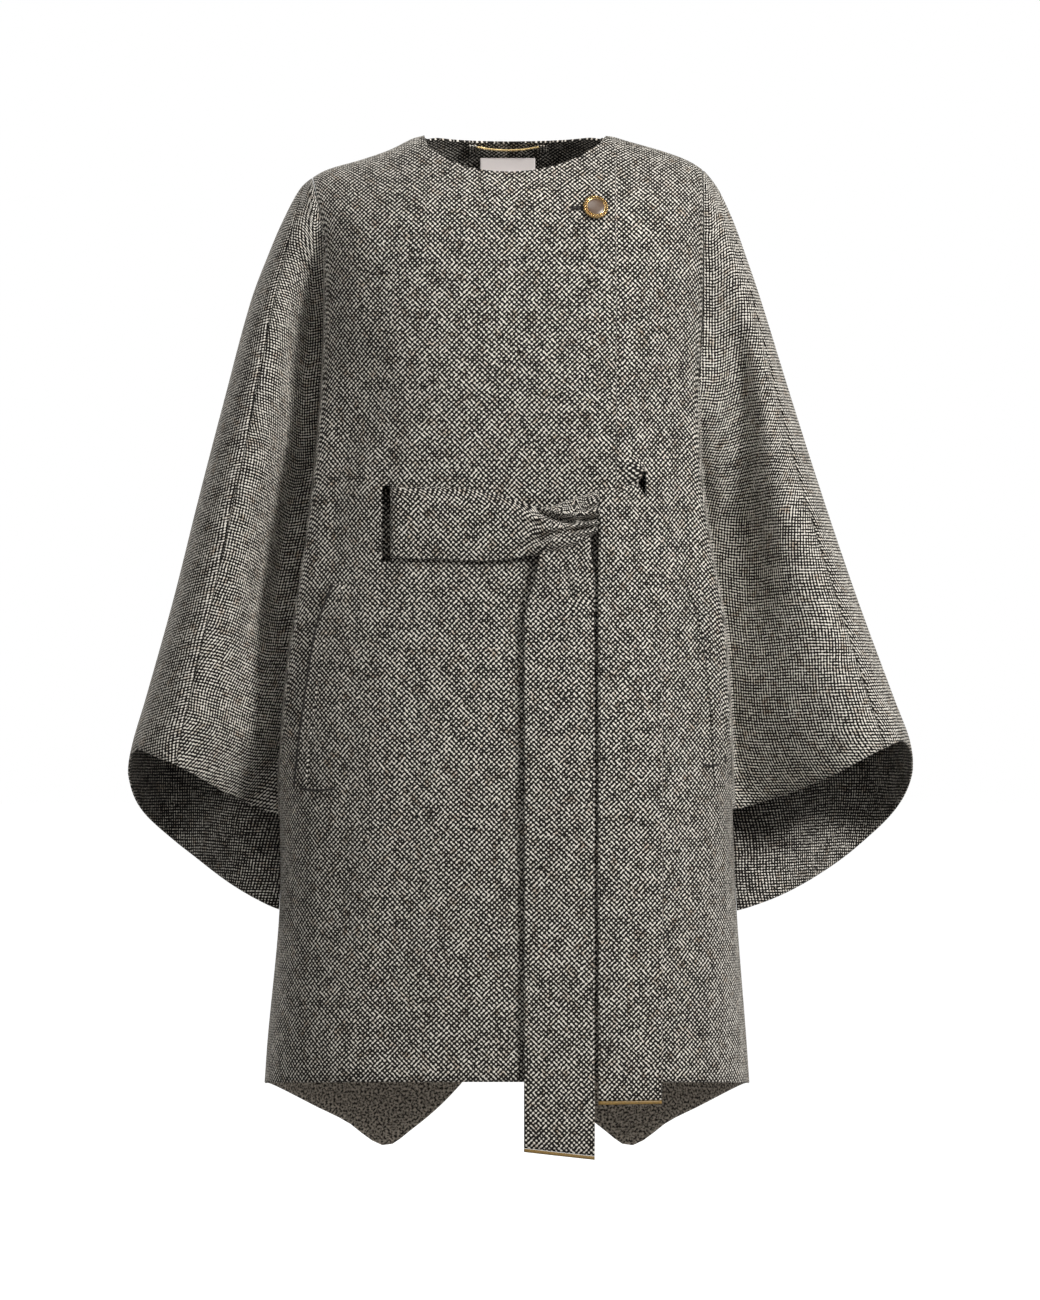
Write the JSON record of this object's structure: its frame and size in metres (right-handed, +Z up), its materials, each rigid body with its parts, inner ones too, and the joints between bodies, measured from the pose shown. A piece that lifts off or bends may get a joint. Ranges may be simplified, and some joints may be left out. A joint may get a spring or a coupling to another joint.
{
  "type": "wool cape coat",
  "caption": "Belted A-line wool tweed coat with cape-like wing sleeves, a round neck, an overlapped front with a shoulder button and a vented back.",
  "frame": {"origin": "middle of the neck opening, level with the two points where the shoulder seams meet the neck", "axes": "+Z up from the hem to the neck, -Y out of the coat's front, +X to the wearer's left"},
  "size_m": [0.7866, 0.3228, 1.021],
  "materials": {
    "tweed": "black and cream wool tweed, soft and matt",
    "binding": "brown and gold binding at the belt's ends",
    "brass": "polished gold-coloured brass",
    "enamel": "taupe enamel, glossy",
    "satin": "pale woven satin label, bare"
  },
  "bodies": {
    "root": {"front_right": "tweed", "front_left": "tweed", "back_right": "tweed", "back_left": "tweed", "sleeve_front_right": "tweed", "sleeve_front_left": "tweed", "sleeve_back_right": "tweed", "sleeve_back_left": "tweed", "pocket_welt_right": "tweed", "pocket_welt_left": "tweed", "belt_waist": "tweed", "belt_stub": "tweed", "belt_inner": "tweed", "belt_knot": "tweed", "belt_tail_right": "tweed", "belt_tail_left": "tweed", "belt_trim_right": "binding", "belt_trim_left": "binding", "button_rim": "brass", "button_disc": "enamel", "hanger_chain": "brass", "hanger_tab_right": "tweed", "hanger_tab_left": "tweed", "neck_label": "satin"}
  },
  "joints": []
}
